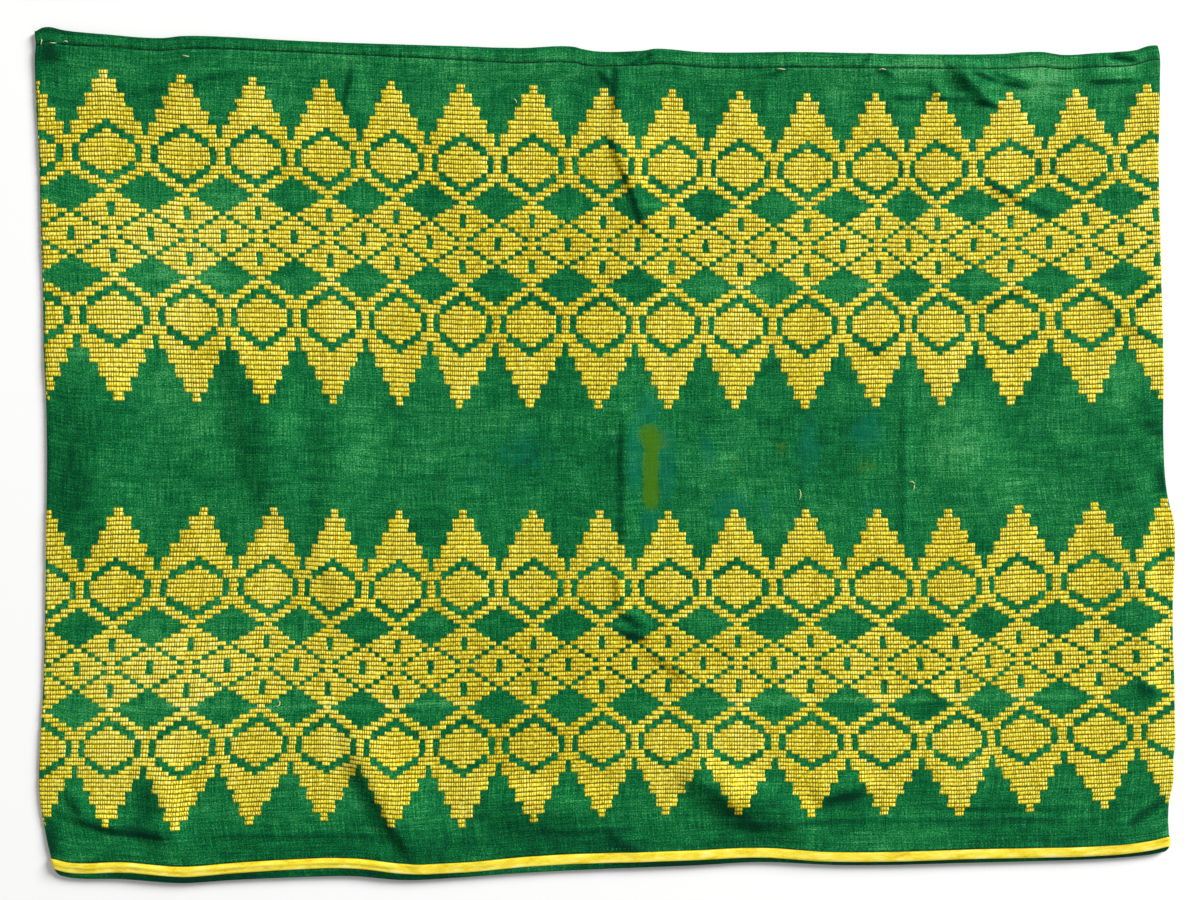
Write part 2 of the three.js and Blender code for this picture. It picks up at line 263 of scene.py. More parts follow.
top_at = curve_through(TOP_EDGE, "x", "y")
lower_at = curve_through(LOWER_EDGE, "x", "y")
left_at = curve_through(LEFT_FOLD, "y", "x")
right_at = curve_through(RIGHT_FOLD, "y", "x")


def stack_at(down):
    """Height of the two layers together, at a distance down the cloth."""
    places = (0, TOP_HEM, TOP_HEM + HEM_EASE, CLOTH_HEIGHT - LOWER_HEM - HEM_EASE, CLOTH_HEIGHT - LOWER_HEM)
    return np.interp(down, places, (HEM_STACK, HEM_STACK, PLAIN_STACK, PLAIN_STACK, HEM_STACK))


def ribbon_share(down):
    """1 where the ribbon lies under the back layer, easing to nothing beside it."""
    places = (RIBBON_TOP - RIBBON_STEP, RIBBON_TOP, RIBBON_FOOT, RIBBON_FOOT + RIBBON_STEP)
    return np.interp(down, places, (0, 1, 1, 0))


def underside_at(down):
    """How far the back layer's outer face is off the floor: the ribbon under it lifts it."""
    return FLOOR_ROOM + (RIBBON_ROOM - FLOOR_ROOM) * ribbon_share(down)


def top_stitches_at(x):
    return np.interp(x, TOP_STITCHES["x"], TOP_STITCHES["down"])


def ribbon_drift_at(x):
    return np.interp(x, RIBBON_DRIFT["x"], RIBBON_DRIFT["down"])


def hump(distance, half_breadth):
    """1 in the middle, falling smoothly to nothing at half the breadth."""
    return np.cos(np.minimum(np.abs(distance) / half_breadth, 1) * np.pi / 2) ** 2


def creases_at(creases, x, y):
    """Sum of a table's folds at places on the cloth, each dying out toward the ends of its line."""
    total = np.zeros(np.shape(x))
    for one in rows_of(creases):
        run_x = one["to_x"] - one["from_x"]
        run_y = one["to_y"] - one["from_y"]
        length = np.hypot(run_x, run_y)
        off_x = x - (one["from_x"] + one["to_x"]) / 2
        off_y = y - (one["from_y"] + one["to_y"]) / 2
        along = (off_x * run_x + off_y * run_y) / length
        aside = (off_x * run_y - off_y * run_x) / length
        fall = np.where(aside > 0, one["steep"], one["gentle"])
        to_end = np.minimum(np.abs(along) * 2 / (length + one["steep"]), 1)
        total += one["lift"] * (1 - to_end ** 4) ** 2 * hump(aside, fall)
    return total


def place_on(share, down):
    """Place on the laid cloth at a share of the way across and a distance down from the top fold."""
    x = np.zeros(np.broadcast(share, down).shape)
    y = x
    for _ in range(FIT_ROUNDS):
        y = top_at(x) + (lower_at(x) - top_at(x)) * down / CLOTH_HEIGHT
        x = left_at(y) + (right_at(y) - left_at(y)) * share
    return x, y


def down_at(x, y):
    """Distance down the cloth from the top fold, for a place on it."""
    return CLOTH_HEIGHT * (top_at(x) - y) / (top_at(x) - lower_at(x))


def ripple(x, y, seed, waves, lengths, height):
    """Low irregular unevenness: a sum of waves in scattered directions."""
    draw = np.random.default_rng(seed)
    total = np.zeros(np.shape(x))
    for _ in range(waves):
        turn, phase = draw.uniform(0, 2 * np.pi, 2)
        length = draw.uniform(*lengths)
        total += np.sin(2 * np.pi * (x * np.cos(turn) + y * np.sin(turn)) / length + phase)
    return total * height / np.sqrt(waves)


def front_lift(x, y, down):
    """How far folds, creases and puckers lift the front layer."""
    folds = creases_at(SOFT_FOLDS, x, y) + creases_at(FINE_CREASES, x, y)
    broad = ripple(x, y, seed=3, waves=14, lengths=(90, 220), height=0.32)
    small = ripple(x, y, seed=4, waves=22, lengths=(18, 46), height=0.07)
    puckers = ripple(x, 0.3 * down, seed=5, waves=14, lengths=(7, 30), height=0.45)
    lower_puckers = ripple(x, 0.2 * down, seed=6, waves=10, lengths=(14, 50), height=0.25)
    gathered = puckers * hump(down - PUCKERS_AT, 15) + lower_puckers * hump(down - LOWER_STITCHES, 16)
    seam = -0.8 * hump(down - top_stitches_at(x), 3.0) - 0.3 * hump(down - LOWER_STITCHES, 2.6)
    return folds + broad + small + gathered + seam


def back_lift(x, y):
    uneven = ripple(x, y, seed=8, waves=12, lengths=(80, 200), height=0.2)
    return creases_at(BACK_CREASES, x, y) + np.abs(uneven)


def spread(start, stop, step):
    return np.linspace(start, stop, int(round((stop - start) / step)) + 1)


# The tube: columns round it and rows down it
class Tube:
    """The laid cloth's outer face as a closed grid, with places, normals and distances round and down."""

    def __init__(self):
        self.front = spread(0, FRONT_WIDTH, FRONT_STEP) / FRONT_WIDTH
        self.back = spread(0, FRONT_WIDTH, BACK_STEP)[::-1] / FRONT_WIDTH
        self.turns = np.pi * np.arange(1, FOLD_STEPS) / FOLD_STEPS
        fold = (TUBE_ROUND - 2 * FRONT_WIDTH) / 2
        self.round = np.concatenate([
            self.front * FRONT_WIDTH,
            FRONT_WIDTH + fold * self.turns / np.pi,
            FRONT_WIDTH + fold + (1 - self.back) * FRONT_WIDTH,
            2 * FRONT_WIDTH + fold + fold * self.turns / np.pi,
        ])
        round_a_fold = fold * np.arange(FOLD_STEPS + 1) / FOLD_STEPS
        self.on_folds = np.concatenate([FRONT_WIDTH + round_a_fold, 2 * FRONT_WIDTH + fold + round_a_fold])
        marks = [HEM_RADIUS, RIBBON_TOP - RIBBON_STEP, RIBBON_TOP, RIBBON_FOOT, RIBBON_FOOT + RIBBON_STEP]
        even = spread(HEM_RADIUS, CLOTH_HEIGHT - HEM_RADIUS, ROW_STEP)
        fine = [spread(*rows, FINE_ROW_STEP) for rows in FINE_ROWS]
        for first, last in FINE_ROWS:
            even = even[(even < first) | (even > last)]
        stitched = [np.arange(6, 20, 0.9), LOWER_STITCHES + np.arange(-3, 4, 1.5)]
        self.downs = np.unique(np.concatenate([even, marks, *fine, *stitched]).round(3))
        self.places = np.array([self.loop(down, 0) for down in self.downs])
        aside = np.roll(self.places, -1, 1) - np.roll(self.places, 1, 1)
        along = np.gradient(self.places, axis=0)
        normals = np.cross(along, aside)
        self.normals = normals / np.linalg.norm(normals, axis=2, keepdims=True)

    def loop(self, down, depth):
        """One closed loop round the tube, sunk by a depth into the cloth."""
        base = underside_at(down)
        left_x, left_y = place_on(0.0, down)
        right_x, right_y = place_on(1.0, down)
        top = stack_at(down) + RIBBON_ROOM * ribbon_share(down)
        left_top = top + front_lift(left_x, left_y, down)
        right_top = top + front_lift(right_x, right_y, down)
        left_radius = (left_top - base) / 2
        right_radius = (right_top - base) / 2
        x, y = place_on(self.front, down)
        inset = left_radius + (-right_radius - left_radius) * self.front
        front = np.stack([x + inset, y, top + front_lift(x, y, down) - depth], 1)
        right = self.side_fold(right_x - right_radius, right_y, base + right_radius, right_radius - depth, 1)
        x, y = place_on(self.back, down)
        inset = left_radius + (-right_radius - left_radius) * self.back
        settled = hump(self.back - 0.5, 0.5) ** 0.2
        back = np.stack([x + inset, y, base + back_lift(x, y) * settled + depth], 1)
        left = self.side_fold(left_x + left_radius, left_y, base + left_radius, left_radius - depth, -1)
        return np.concatenate([front, right, back, left])

    def side_fold(self, centre_x, y, centre_z, radius, side):
        x = centre_x + side * radius * np.sin(self.turns)
        z = centre_z + side * radius * np.cos(self.turns)
        return np.stack([x, np.full(len(x), y), z], 1)

    def at(self, around, down, lift=0.0):
        """Places on the outer face, raised by a lift."""
        columns = len(self.round)
        around = np.mod(around, TUBE_ROUND)
        i = np.interp(around, np.append(self.round, TUBE_ROUND), np.arange(columns + 1))
        j = np.interp(down, self.downs, np.arange(len(self.downs)))
        i0 = np.minimum(i.astype(int), columns - 1)
        j0 = np.minimum(j.astype(int), len(self.downs) - 2)
        i1 = (i0 + 1) % columns
        s = (i - i0)[..., None]
        t = (j - j0)[..., None]

        def blend(grid):
            upper = grid[j0, i0] * (1 - s) + grid[j0, i1] * s
            lower = grid[j0 + 1, i0] * (1 - s) + grid[j0 + 1, i1] * s
            return upper * (1 - t) + lower * t

        return blend(self.places) + blend(self.normals) * np.asarray(lift)[..., None]

    def around_at(self, x, y):
        """Distance round the tube for a place on the front layer."""
        left, right = left_at(y), right_at(y)
        radius = (stack_at(down_at(x, y)) + 1) / 2
        return FRONT_WIDTH * (x - left - radius) / (right - left - 2 * radius)

    def down_round(self, around, y):
        """Distance down the tube at a distance round it and a height up the laid cloth."""
        fold = (TUBE_ROUND - 2 * FRONT_WIDTH) / 2
        corners = np.cumsum([0, FRONT_WIDTH, fold, FRONT_WIDTH, fold])
        share = np.interp(np.mod(around, TUBE_ROUND), corners, (0, 1, 1, 0, 0))
        return down_at(left_at(y) + (right_at(y) - left_at(y)) * share, y)


tube = Tube()


# How much of the front's tone, mostly painted shade and light with some fading, the back layer takes, on the
# cloth and on its floats
BACK_CLOTH_SHADE_SHARE = 0.4
BACK_FLOATS_SHADE_SHARE = 0.3

# Lighter and darker patches: mostly painted shade and painted light, with some fading
PATCH_COLUMNS = ("x", "y", "wide", "tall", "amount")
PAINTED_SHADE_AND_FADING = table(PATCH_COLUMNS, [
    (0, -392, 1300, 60, -0.45), (-60, -372, 200, 50, -0.4), (-530, 0, 80, 200, -0.45),
    (-561, 0, 24, 130, -0.9), (-432, 20, 130, 190, 0.3), (-243, 15, 80, 230, 0.35),
    (-316, 50, 34, 130, 0.25), (-185, -10, 80, 150, 0.2), (120, 0, 130, 130, 0.25),
    (360, 10, 120, 190, 0.55), (405, -35, 60, 60, 0.3), (308, 80, 30, 80, 0.35), (515, 65, 80, 120, 0.35),
    (556, -22, 24, 50, -1.0), (553, 24, 30, 18, -0.7), (95, -195, 160, 60, -0.25), (0, 395, 1120, 50, 0.2),
    (360, 398, 420, 40, 0.25), (-490, 425, 320, 14, -1.1), (-557, 400, 40, 30, -1.2),
    (-325, 362, 60, 90, 0.35), (-238, 358, 30, 70, 0.35), (-45, 352, 44, 80, 0.45),
    (235, 362, 60, 70, 0.35), (305, 352, 44, 90, 0.5), (435, 348, 60, 70, 0.4), (505, 346, 50, 70, 0.3),
    (-280, 365, 36, 60, -0.3), (-556, -385, 40, 70, -1.2), (322, -257, 36, 36, -0.4),
    (315, -325, 50, 70, -0.3), (265, 105, 50, 40, -0.3), (150, -358, 120, 60, -0.4),
    (240, -345, 60, 24, -0.4), (60, -395, 110, 24, 0.35), (300, -385, 330, 30, 0.3),
    (-230, -355, 40, 60, -0.3), (-462, -360, 44, 80, -0.4), (0, -30, 60, 170, -0.15),
    (-350, 20, 40, 190, -0.3), (435, 378, 110, 70, 0.6), (520, 385, 80, 60, 0.5), (300, 388, 120, 34, 0.4),
    (100, -380, 260, 30, 0.2), (-440, 215, 380, 330, 0.3), (-440, -215, 380, 300, 0.3),
    (-60, 215, 400, 300, -0.15), (-60, -215, 400, 300, -0.2), (360, 370, 460, 80, 0.3),
    (-500, 385, 120, 60, 0.35), (430, -385, 320, 60, -0.35), (-330, 395, 200, 50, 0.25),
])

# Single lighter or darker wefts, and painted shade and painted highlight lines along sharp creases: lift is
# their tone
WEFT_LINES = table(CREASE_COLUMNS, [
    (-545, 178, -5, 168, 5, 5, 0.4), (-5, 168, 545, 172, 5, 5, 0.4), (-545, -253, -5, -248, 5, 5, 0.55),
    (-5, -248, 555, -239, 5, 5, 0.55), (-565, -23, 15, -25, 5, 5, -0.35), (-265, 10, 0, 8, 5, 5, -0.15),
    (445, 16, 560, 16, 5, 5, 0.35), (35, 1, 175, 0, 6, 6, 0.3), (-545, 255, 550, 245, 5, 5, 0.2),
])
CREASE_SHADE_LINES = table(CREASE_COLUMNS, [
    (-483, 357, -420, 372, 5, 5, -0.4), (-430, 370, -355, 384, 6, 5, -0.5),
    (-533, -365, -485, -378, 6, 8, -1.0), (-495, -376, -433, -382, 6, 8, -1.3),
    (354, 382, 382, 352, 14, 4, -0.8), (325, 356, 372, 355, 3, 4, -0.8), (371, 353, 398, 346, 3, 5, -1.2),
    (285, 357, 322, 358, 3, 4, -0.9), (368, 381, 395, 371, 3, 4, -1.1), (393, 373, 428, 365, 3, 4, -1.0),
    (381, 383, 430, 368, 3, 4, -0.6), (420, 370, 470, 369, 3, 4, -0.5), (480, 372, 538, 374, 4, 4, -1.1),
    (383, 272, 412, 256, 6, 6, -0.8), (407, 259, 451, 238, 6, 6, -0.8), (380, 146, 430, 171, 6, 8, -0.5),
    (493, 157, 517, 131, 6, 6, -0.5), (515, 133, 555, 110, 5, 6, -0.4), (11, 392, 8, 334, 6, 4, -1.0),
    (3, 320, 19, 275, 6, 4, -0.9), (17, 287, 41, 220, 7, 4, -1.0), (-6, 383, 6, 370, 5, 4, -0.9),
    (16, 55, 15, -105, 6, 4, -0.7), (10, -118, 12, -152, 6, 5, -0.9), (526, 57, 546, 49, 5, 5, -0.6),
    (522, 42, 554, 47, 5, 5, -0.7), (536, 29, 556, 34, 5, 5, -0.7), (15, -159, 36, -171, 5, 4, -1.3),
    (18, -181, 42, -184, 6, 4, -2.0), (8, -167, 30, -177, 5, 4, 0.6), (30, -155, 50, -172, 4, 4, 0.6),
    (38, -194, 85, -228, 6, 6, -0.6), (-253, 388, -263, 341, 6, 4, -0.8), (1, -379, 34, -396, 5, 5, -0.7),
    (523, -370, 561, -345, 7, 6, -1.2), (-410, -381, -190, -381, 4, 4, -0.5),
    (-70, -377, 35, -374, 4, 4, -0.5), (35, -369, 530, -363, 4, 4, -0.7),
    (310, -353, 500, -353, 4, 4, -0.4), (160, 377, 158, 343, 6, 5, -0.5), (163, 379, 195, 392, 5, 4, -0.7),
    (299, 75, 298, -105, 5, 4, -0.5), (198, 15, 198, -75, 5, 4, -0.3), (533, -228, 551, -240, 6, 6, -1.0),
    (325, -237, 343, -249, 6, 6, -0.8), (20, 388, 60, 406, 5, 4, -0.6), (268, 405, 255, 385, 5, 4, -0.9),
    (270, 388, 288, 379, 5, 4, -0.9), (505, 398, 534, 394, 5, 4, -1.0), (86, -322, 168, -383, 12, 8, -0.6),
    (213, -350, 264, -334, 11, 6, -0.9), (-253, -312, -194, -402, 10, 6, -0.5),
])

# Where the ground is stained teal and olive
TEAL = table(PATCH_COLUMNS, [
    (44, 47, 40, 56, 0.8), (62, -10, 26, 110, 0.9), (30, 0, 22, 120, 0.8), (45, -66, 34, 36, 1.0),
    (102, 5, 20, 44, 0.6), (125, -55, 60, 60, 0.8), (160, -55, 30, 60, 0.5), (205, 15, 50, 130, 0.5),
    (262, 25, 60, 70, 0.8), (275, -50, 70, 40, 0.5), (190, -60, 50, 40, 0.4), (-85, 5, 110, 110, 0.4),
    (65, -10, 560, 170, 0.25), (-60, 262, 60, 60, 0.3), (75, 240, 80, 80, 0.3), (-135, -20, 60, 90, 0.3),
    (-40, 160, 90, 60, 0.3), (120, 170, 110, 60, 0.3), (20, 120, 80, 60, 0.35), (-200, -160, 90, 60, 0.2),
    (60, -240, 110, 60, 0.3),
])
OLIVE = table(PATCH_COLUMNS, [
    (46, -20, 30, 100, 1.5), (45, -44, 32, 44, 0.7), (42, 22, 40, 34, 1.0), (47, 10, 26, 60, 0.8),
    (58, 40, 12, 60, 0.6), (-166, -28, 26, 80, 0.6), (15, 222, 26, 26, 0.8), (62, 12, 30, 34, 0.5),
    (106, -30, 20, 90, 0.5), (130, -12, 34, 60, 0.5), (176, 8, 26, 30, 0.9), (176, -58, 34, 26, 0.6),
    (262, -12, 56, 46, 0.6), (-30, -190, 50, 40, 0.3), (120, 120, 60, 40, 0.3), (-100, 110, 60, 40, 0.25),
    (320, -20, 60, 70, 0.2),
])


def patches_at(patches, x, y):
    """Sum of a table's soft patches at places on the cloth."""
    total = np.zeros(np.shape(x))
    for one in rows_of(patches):
        total += one["amount"] * hump(x - one["x"], one["wide"] / 2) * hump(y - one["y"], one["tall"] / 2)
    return total


def painted_shade_and_tone_at(x, y):
    """Painted shade and light with some fading, single lighter or darker wefts, and the painted shade and
    highlight along sharp creases.
    """
    return patches_at(PAINTED_SHADE_AND_FADING, x, y) + creases_at(WEFT_LINES, x, y) + creases_at(CREASE_SHADE_LINES, x, y)


# Meshes
def new_piece(name, points, quads, material, uvs, marks):
    """A mesh from places in millimetres, four-sided faces, named maps and named marks for each point."""
    mesh = bpy.data.meshes.new(name)
    mesh.from_pydata((points * MM).tolist(), [], quads.tolist())
    corners = quads.ravel()
    for map_name, places in uvs.items():
        layer = mesh.uv_layers.new(name=map_name)
        by_corner = places if len(places) == len(corners) else places[corners]
        layer.data.foreach_set("uv", by_corner.astype(np.float32).ravel())
    for mark_name, values in marks.items():
        mark = mesh.attributes.new(mark_name, "FLOAT", "POINT")
        mark.data.foreach_set("value", values.astype(np.float32))
    mesh.shade_smooth()
    mesh.materials.append(material)
    mesh.validate()
    piece = bpy.data.objects.new(name, mesh)
    bpy.context.scene.collection.objects.link(piece)
    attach(piece, "root")
    return piece


def grid_quads(rows, columns, closed):
    """Faces of a grid of points, which may close round its columns."""
    j, i = np.meshgrid(np.arange(rows - 1), np.arange(columns if closed else columns - 1), indexing="ij")
    after = (i + 1) % columns
    corners = [j * columns + i, (j + 1) * columns + i, (j + 1) * columns + after, j * columns + after]
    return np.stack(corners, -1).reshape(-1, 4)


def joined(grids):
    """Many small grids as one, from each one's places, map places and faces."""
    points, uvs, quads = zip(*grids)
    starts = np.cumsum([0, *map(len, points[:-1])])
    faces = [one + start for one, start in zip(quads, starts)]
    return np.concatenate(points), np.concatenate(uvs), np.concatenate(faces)


def stacked_strips(along, across, whole, strips, spill):
    """A map of a stretch round the tube, cut into strips laid above each other. Each row of places goes
    whole into the strip that holds its middle, and spill is the room left at a strip's ends."""
    long = whole / strips
    strip = np.clip((along.mean(-1, keepdims=True) / long).astype(int), 0, strips - 1)
    u = (along - strip * long + spill) / (long + 2 * spill)
    return np.stack([u.ravel(), ((strip + np.clip(across, 0.002, 0.998)) / strips).ravel()], 1)


# Shader maths
class Value:
    """A socket's value, with arithmetic that adds Math nodes."""

    def __init__(self, paint, socket):
        self.paint = paint
        self.socket = socket

    def __add__(self, other):
        return self.paint.math("ADD", self, other)

    def __radd__(self, other):
        return self.paint.math("ADD", other, self)

    def __sub__(self, other):
        return self.paint.math("SUBTRACT", self, other)

    def __rsub__(self, other):
        return self.paint.math("SUBTRACT", other, self)

    def __mul__(self, other):
        return self.paint.math("MULTIPLY", self, other)

    def __rmul__(self, other):
        return self.paint.math("MULTIPLY", other, self)


class Paint:
    """A material and the nodes that give its finish."""

    def __init__(self, name):
        self.material = bpy.data.materials.new(name)
        self.material.use_nodes = True
        self.tree = self.material.node_tree
        self.tree.nodes.clear()

    def node(self, kind, settings=None, sockets=None, out=0):
        """Adds a node: its settings first, then the values or links of its sockets."""
        node = self.tree.nodes.new(kind)
        for key, value in (settings or {}).items():
            if key == "stops":
                self.set_stops(node.color_ramp, value)
            else:
                setattr(node, key, value)
        for key, value in (sockets or {}).items():
            self.feed(node.inputs[key], value)
        return Value(self, node.outputs[out]) if node.outputs else node

    def set_stops(self, ramp, stops):
        while len(ramp.elements) < len(stops):
            ramp.elements.new(1)
        for element, (position, colour) in zip(ramp.elements, stops):
            element.position = position
            element.color = shade(*colour)

    def feed(self, socket, value):
        if isinstance(value, Value):
            self.tree.links.new(value.socket, socket)
        else:
            socket.default_value = value

    def math(self, operation, a, b=0.0):
        return self.node("ShaderNodeMath", {"operation": operation}, {0: a, 1: b})

    def soft_step(self, value, low, high):
        """0 below low and 1 above high, with a smooth rise between."""
        ends = {"From Min": low, "From Max": high}
        smooth = {"interpolation_type": "SMOOTHSTEP"}
        return self.node("ShaderNodeMapRange", smooth, {"Value": value, **ends})

    def noise(self, place, scale, detail=2.0):
        sockets = {"Vector": place, "Scale": scale, "Detail": detail, "Roughness": 0.6}
        return self.node("ShaderNodeTexNoise", {}, sockets)

    def streaks(self, u, v, along, across, shift=0.0, detail=3.0):
        """Noise drawn out along the wefts or across them, by its scale in each direction."""
        place = self.node("ShaderNodeCombineXYZ", {}, {"X": u * along, "Y": v * across, "Z": shift})
        return self.noise(place, 1.0, detail)

    def mix(self, share, a, b):
        """Between two colours."""
        sockets = {0: share, 6: a, 7: b}
        return self.node("ShaderNodeMix", {"data_type": "RGBA", "clamp_factor": True}, sockets, out=2)

    def ramp(self, value, stops):
        return self.node("ShaderNodeValToRGB", {"stops": stops}, {"Fac": value})

    def map(self, name):
        """The two coordinates of a named map."""
        place = self.node("ShaderNodeUVMap", {"uv_map": name})
        split = self.tree.nodes.new("ShaderNodeSeparateXYZ")
        self.feed(split.inputs[0], place)
        return Value(self, split.outputs[0]), Value(self, split.outputs[1])

    def mark(self, name):
        """A mark kept at each point of the mesh."""
        return self.node("ShaderNodeAttribute", {"attribute_name": name}, out=2)

    def finish(self, colour, roughness, height, depth, **constants):
        """The surface itself, with its relief as bump."""
        bump = self.node("ShaderNodeBump", {}, {"Strength": 1.0, "Distance": depth, "Height": height})
        sockets = {"Base Color": colour, "Roughness": roughness, "Normal": bump}
        for key, value in constants.items():
            sockets[key.replace("_", " ")] = value
        surface = self.node("ShaderNodeBsdfPrincipled", {}, sockets)
        self.node("ShaderNodeOutputMaterial", {}, {"Surface": surface})
        return self.material


def shade(red, green, blue):
    """A colour in light terms from its screen values, 0 to 255."""
    screen = np.array([red, green, blue]) / 255
    linear = np.where(screen <= 0.04045, screen / 12.92, ((screen + 0.055) / 1.055) ** 2.4)
    return (*linear.tolist(), 1.0)


# Finishes
def green_weave():
    """Plain-woven green ground with slubs, flecks, soft stains, painted shade and light from the tone mark,
    a dark line at each row of stitching and a painted shadow along the ribbon.
    """
    paint = Paint("green_weave")
    u, v = paint.map("weave")
    fleck = paint.streaks(u, v, 0.6, 0.8)
    wefts = paint.streaks(u, v, 0.02, 0.7, 5.0)
    warps = paint.streaks(u, v, 0.8, 0.03, 9.0)
    clouds = paint.streaks(u, v, 0.011, 0.014, 2.0)
    patches = paint.streaks(u, v, 0.07, 0.11, 7.0)
    threads = (fleck - 0.5) * 1.9 + (wefts - 0.5) * 0.9 + (warps - 0.5) * 1.0
    # The tone mark adds painted shade and light, with some fading
    tone = threads + (clouds - 0.5) * 0.6 + (patches - 0.5) * 0.6 + paint.mark("tone") * 0.42 + 0.46
    ground = paint.ramp(tone, [
        (0.0, (0, 54, 32)), (0.25, (0, 80, 42)), (0.5, (8, 106, 52)), (0.75, (38, 138, 72)),
        (1.0, (96, 172, 108)),
    ])
    stripes = paint.streaks(u, v, 0.16, 0.05, 15.0, detail=2.0)
    broken = (patches - 0.5) * 1.5 + (stripes - 0.5) * 1.3 + (fleck - 0.5) * 0.4
    teal = paint.soft_step(paint.mark("teal") + broken * 0.6, 0.2, 0.7)
    olive = paint.soft_step(paint.mark("olive") + broken * 0.9, 0.4, 0.9)
    stained = paint.mix(teal * 0.5, ground, shade(0, 102, 80))
    stained = paint.mix(olive * (0.4 + paint.mark("olive") * 0.3), stained, shade(66, 112, 0))
    pulls = paint.soft_step(paint.streaks(u, v, 0.11, 0.0, 4.0), 0.3, 0.56)
    # The seam mark darkens the stitch lines and paints the ribbon's shadow on the cloth
    seam = paint.soft_step(paint.mark("seam"), 0.15, 0.8) * (0.45 + pulls * 0.5)
    colour = paint.mix(seam, stained, shade(0, 38, 22))
    weft_ridge = paint.math("SINE", v * 9.0)
    warp_ridge = paint.math("SINE", u * 9.0)
    height = weft_ridge * warp_ridge * 0.35 + threads
    return paint.finish(colour, 0.85, height, 0.00012, Specular_IOR_Level=0.08)


def yellow_floats():
    """Yellow pattern wefts lying in floats, bound down by warps, with dark lines between the rows that are
    partly painted shade, a painted highlight on each float's crown, painted glints, and painted shade and
    light from the tone mark.
    """
    paint = Paint("yellow_floats")
    u, v = paint.map("weave")
    across = paint.math("FRACT", v)
    sway = paint.streaks(u, v, 0.03, 0.25, 3.0, detail=1.0)
    warp_line = paint.node(
        "ShaderNodeTexVoronoi",
        {"voronoi_dimensions": "1D", "feature": "DISTANCE_TO_EDGE"},
        {"W": u + sway * 0.8, "Scale": 0.4, "Randomness": 0.7},
    )
    uneven = paint.streaks(u, v, 0.12, 0.2, 1.0, detail=2.0)
    lines = (1 - paint.soft_step(warp_line, 0.03, 0.24)) * paint.soft_step(uneven, 0.31, 0.58)
    wander = (paint.streaks(u, v, 0.35, 0.9, 12.0, detail=2.0) - 0.5) * 0.16
    # Dark lines between the rows: partly the ground weft, partly painted shade where each float dips
    row_lines_and_shade = paint.soft_step(paint.math("ABSOLUTE", across - 0.5 + wander), 0.29, 0.45)
    # Painted highlight on each float's crown, just above its middle, between the warp lines
    crown = 1 - paint.math("ABSOLUTE", across - 0.42) * 2.2
    filaments = paint.streaks(u, v, 0.3, 3.2, 4.0)
    # Random flecks that also stand for painted glints
    flecks_and_glints = paint.streaks(u, v, 0.5, 1.1, 8.0, detail=2.0)
    clouds = paint.streaks(u, v, 0.02, 0.03, 6.0, detail=2.0)
    painted_highlight = crown * paint.soft_step(warp_line, 0.05, 0.4) * 0.34
    tone = (filaments - 0.5) * 0.9 + (flecks_and_glints - 0.5) * 1.7 + (clouds - 0.5) * 0.5 + painted_highlight
    # The tone mark adds painted shade and light
    silk = paint.ramp(tone + paint.mark("tone") * 0.42 + 0.38, [
        (0.05, (146, 120, 0)), (0.3, (202, 182, 12)), (0.5, (233, 216, 38)), (0.7, (250, 241, 98)),
        (0.92, (255, 250, 154)),
    ])
    bound = paint.mix(lines * 0.9, silk, shade(112, 88, 0))
    colour = paint.mix(row_lines_and_shade * 0.95, bound, shade(96, 76, 0))
    height = filaments * 0.5 - lines * 1.2
    return paint.finish(colour, 0.6, height, 0.00014, Specular_IOR_Level=0.15)


# Where the ribbon's middle is most worn, by distance round the tube
RIBBON_WORN = 150.0


def yellow_satin():
    """Woven satin ribbon with lengthwise ribs, a faint darker middle line, soft golden patches and painted
    shade along both sides.
    """
    paint = Paint("yellow_satin")
    u, v = paint.map("weave")
    ribs = paint.streaks(u, v, 0.02, 16.0, detail=2.0)
    patches = paint.streaks(u, v, 0.045, 1.5, 3.0)
    grain = paint.streaks(u, v, 1.2, 9.0, 6.0, detail=2.0)
    tone = (ribs - 0.5) * 0.7 + (patches - 0.5) * 1.6 + (grain - 0.5) * 1.1 + v * 0.2 + 0.37
    satin = paint.ramp(tone, [
        (0.05, (196, 168, 10)), (0.28, (236, 208, 30)), (0.5, (252, 230, 58)), (0.72, (255, 242, 116)),
        (0.95, (255, 250, 190)),
    ])
    middle = 1 - paint.soft_step(paint.math("ABSOLUTE", v - 0.56 + (patches - 0.5) * 0.5), 0.02, 0.2)
    broken = paint.soft_step(paint.streaks(u, v, 0.03, 0.8, 11.0, detail=4.0), 0.35, 0.7)
    from_worn = paint.soft_step(paint.math("ABSOLUTE", u - RIBBON_WORN), 150.0, 420.0)
    # Painted shade along both sides, where the ribbon dips to the cloth
    satin_edge_shade = paint.soft_step(paint.math("ABSOLUTE", v - 0.5), 0.4, 0.5)
    worn = middle * (0.25 + broken * 0.75) * (0.8 - from_worn * 0.62)
    lined = paint.mix(worn, satin, shade(172, 156, 12))
    colour = paint.mix(satin_edge_shade * 0.6, lined, shade(150, 128, 14))
    return paint.finish(colour, 0.42, ribs + grain * 0.6, 0.0001, Specular_IOR_Level=0.4)


def sewing_thread(name, dark, light, showing):
    """Twisted thread in one dye, which shows pale for a share of its length and is sunk elsewhere."""
    paint = Paint(name)
    u, v = paint.map("weave")
    twist = paint.math("SINE", u * 14.0 + v * 6.0)
    stretches = paint.streaks(u, v, 0.02, 0.0)
    shows = paint.soft_step(stretches, 0.62 - showing * 0.35, 0.72 - showing * 0.35)
    colour = paint.mix(twist * 0.15 + shows * 0.85, shade(*dark), shade(*light))
    return paint.finish(colour, 0.6, twist, 0.00008, Specular_IOR_Level=0.35)


